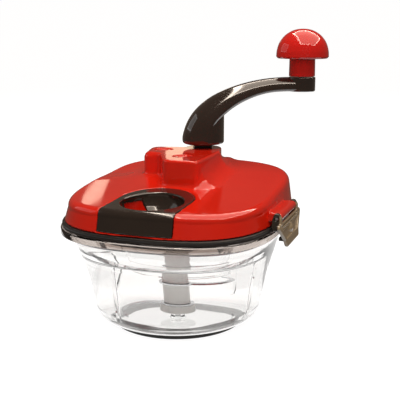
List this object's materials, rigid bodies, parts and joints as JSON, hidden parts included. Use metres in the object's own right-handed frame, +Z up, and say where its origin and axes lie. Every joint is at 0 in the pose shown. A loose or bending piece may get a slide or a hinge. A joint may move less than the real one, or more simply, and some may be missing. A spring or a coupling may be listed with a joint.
{
  "type": "vegetable chopper",
  "caption": "Hand-cranked chopper: clear bowl with a bladed spindle, geared domed lid with a filling cup, a side clip, and a curved crank arm with a mushroom knob.",
  "frame": {"origin": "on the spindle's axis, at the level the foot ring stands on: the centre of the boss under the bowl's floor", "axes": "+Z up along the spindle, -Y towards the filling cup at the front, +Y towards the crank, +X towards the clip"},
  "size_m": [0.209, 0.2274, 0.2592],
  "materials": {
    "bowl_clear": "clear moulded plastic, polished",
    "lid_red": "high-gloss moulded plastic",
    "knob_red": "high-gloss moulded plastic",
    "black_gloss": "glossy moulded plastic",
    "black_matte": "satin moulded plastic",
    "clip_black": "glossy moulded plastic with a warm cast",
    "white_plastic": "natural white moulded plastic",
    "rubber": "soft moulded rubber",
    "steel": "drawn steel",
    "blade_steel": "ground and polished stainless"
  },
  "bodies": {
    "bowl_body": {"bowl": "bowl_clear", "foot_ring": "rubber", "pivot_pin": "steel"},
    "lid": {"lid_shell": "lid_red", "gasket": "rubber", "funnel_insert": "black_gloss", "gear_cover": "lid_red", "splash_collar": "bowl_clear", "spindle_bush": "white_plastic", "crank_bush": "black_matte", "idler_axle": "steel", "idler_cap": "lid_red", "housing_cap": "lid_red", "cover_screw_1": "steel", "cover_screw_2": "steel", "cover_screw_3": "steel", "cover_screw_4": "steel", "clip_pin": "steel"},
    "crank": {"crank_handle": "black_gloss", "crank_shaft": "steel", "crank_gear": "white_plastic", "knob_pin": "steel"},
    "knob": {"knob_cap": "knob_red", "knob_stem": "knob_red"},
    "idler": {"idler_gear": "white_plastic"},
    "pinion": {"spindle_pinion": "white_plastic"},
    "spindle": {"blade_spindle": "white_plastic", "blade_spacer": "white_plastic", "blade_clamp": "white_plastic", "lower_blade": "blade_steel", "upper_blade": "blade_steel"},
    "clip": {"rim_clip": "clip_black"}
  },
  "joints": [
    {"name": "lid_lift", "type": "slide", "parent": "bowl_body", "child": "lid", "axis": [0, 0, 1], "range_m": [0, 0.12]},
    {"name": "crank_turn", "type": "hinge", "parent": "lid", "child": "crank", "pos_m": [0, 0.0704, 0.15], "axis": [0, 0, 1], "continuous": true},
    {"name": "knob_turn", "type": "hinge", "parent": "crank", "child": "knob", "pos_m": [0.08813, 0.10423, 0.225], "axis": [0, 0, 1], "continuous": true},
    {"name": "idler_turn", "type": "hinge", "parent": "lid", "child": "idler", "pos_m": [-0.03116, 0.04532, 0.107], "axis": [0, 0, 1], "continuous": true},
    {"name": "pinion_turn", "type": "hinge", "parent": "lid", "child": "pinion", "pos_m": [0, 0, 0.104], "axis": [0, 0, 1], "continuous": true},
    {"name": "spindle_turn", "type": "hinge", "parent": "bowl_body", "child": "spindle", "pos_m": [0, 0, 0.05], "axis": [0, 0, 1], "continuous": true},
    {"name": "clip_swing", "type": "hinge", "parent": "lid", "child": "clip", "pos_m": [0.099, 0, 0.1063], "axis": [0, -1, 0], "range_deg": [0, 105]}
  ],
  "couplings": [
    {"joint": "idler_turn", "follows": "crank_turn", "ratio": -0.6},
    {"joint": "pinion_turn", "follows": "crank_turn", "ratio": 1.6},
    {"joint": "spindle_turn", "follows": "crank_turn", "ratio": 1.6}
  ]
}
